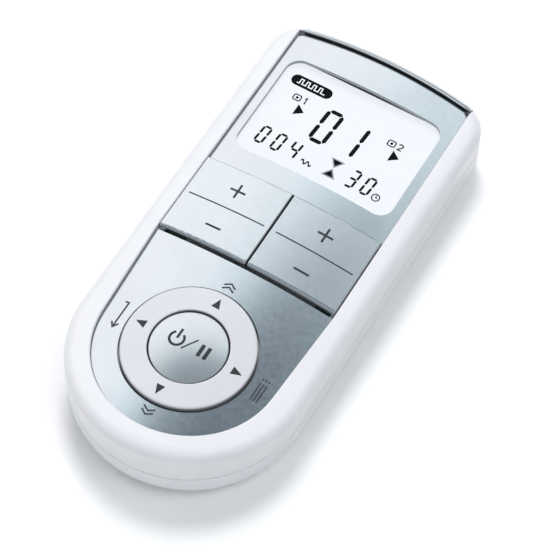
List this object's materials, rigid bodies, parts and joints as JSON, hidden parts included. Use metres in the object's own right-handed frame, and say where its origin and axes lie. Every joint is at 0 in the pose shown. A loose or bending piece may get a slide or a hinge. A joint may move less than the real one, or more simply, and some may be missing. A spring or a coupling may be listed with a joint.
{
  "type": "tens unit",
  "caption": "Handheld nerve stimulator with a display, channel rocker keys, a direction ring round a power button, lead sockets in its far end and a sliding battery door.",
  "frame": {"origin": "under the middle of the case, on the plane of its back, which it lies on", "axes": "+X to the right seen from the front, +Y along the case towards the display and the lead sockets, +Z out of the face"},
  "size_m": [0.063, 0.132, 0.0226],
  "materials": {
    "white_case": "satin",
    "silver_paint": "satin",
    "clear_window": "gloss",
    "display_glass": "gloss",
    "foam": "matte",
    "holder_plastic": "matte",
    "diffuser": "matte",
    "contact_rubber": "matte",
    "pale_key": "satin",
    "bare_steel": "satin",
    "ring_silver": "satin",
    "silicone": "matte",
    "button_silver": "gloss",
    "board_laminate": "satin",
    "coil_tape": "matte",
    "capacitor_can": "satin",
    "chip_black": "matte",
    "socket_black": "satin",
    "label_paper": "matte",
    "cell_jacket": "gloss",
    "nickel": "polished"
  },
  "bodies": {
    "case": {"front_shell": "white_case", "end_cap": "silver_paint", "display_panel": "silver_paint", "display_window": "clear_window", "lower_panel": "silver_paint", "lcd_glass": "display_glass", "lcd_gasket": "foam", "lcd_holder": "holder_plastic", "lcd_backlight": "diffuser", "lcd_contact_strip": "contact_rubber", "rocker_pins": "bare_steel", "silicone_keypad": "silicone", "main_board": "board_laminate", "output_transformers": "coil_tape", "capacitors": "capacitor_can", "output_transistors": "chip_black", "controller_chip": "chip_black", "clock_crystal": "bare_steel", "buzzer": "chip_black", "lead_socket_1": "socket_black", "lead_socket_2": "socket_black", "rear_shell": "white_case", "rating_label": "label_paper", "battery_1": "cell_jacket", "battery_2": "cell_jacket", "battery_3": "cell_jacket", "battery_contacts": "nickel", "battery_springs": "nickel", "case_screws": "bare_steel", "board_screws": "bare_steel"},
    "channel_1_rocker": {"channel_1_rocker": "pale_key"},
    "channel_2_rocker": {"channel_2_rocker": "pale_key"},
    "direction_ring": {"direction_ring": "ring_silver"},
    "ring_web": {"ring_web": "silicone"},
    "power_button": {"power_button": "button_silver"},
    "battery_door": {"battery_door": "white_case"}
  },
  "joints": [
    {"name": "channel_1_rocker_tilt", "type": "hinge", "parent": "case", "child": "channel_1_rocker", "pos_m": [-0.013, 0.00348, 0.01845], "axis": [1, 0, 0], "range_deg": [-2.5, 2.5], "stiffness_Nm_per_rad": 0.5},
    {"name": "channel_2_rocker_tilt", "type": "hinge", "parent": "case", "child": "channel_2_rocker", "pos_m": [0.013, 0.00348, 0.01845], "axis": [1, 0, 0], "range_deg": [-2.5, 2.5], "stiffness_Nm_per_rad": 0.5},
    {"name": "ring_up_down_tilt", "type": "hinge", "parent": "case", "child": "ring_web", "pos_m": [0, -0.0355, 0.0176], "axis": [1, 0, 0], "range_deg": [-1.8, 1.8], "stiffness_Nm_per_rad": 1.2},
    {"name": "ring_left_right_tilt", "type": "hinge", "parent": "ring_web", "child": "direction_ring", "pos_m": [0, -0.0355, 0.0176], "axis": [0, 1, 0], "range_deg": [-1.8, 1.8], "stiffness_Nm_per_rad": 1.2},
    {"name": "power_button_press", "type": "slide", "parent": "case", "child": "power_button", "axis": [0, 0, -1], "range_m": [0, 0.0007], "stiffness_N_per_m": 1000},
    {"name": "battery_door_slide", "type": "slide", "parent": "case", "child": "battery_door", "axis": [0, -1, 0], "range_m": [0, 0.066]}
  ]
}
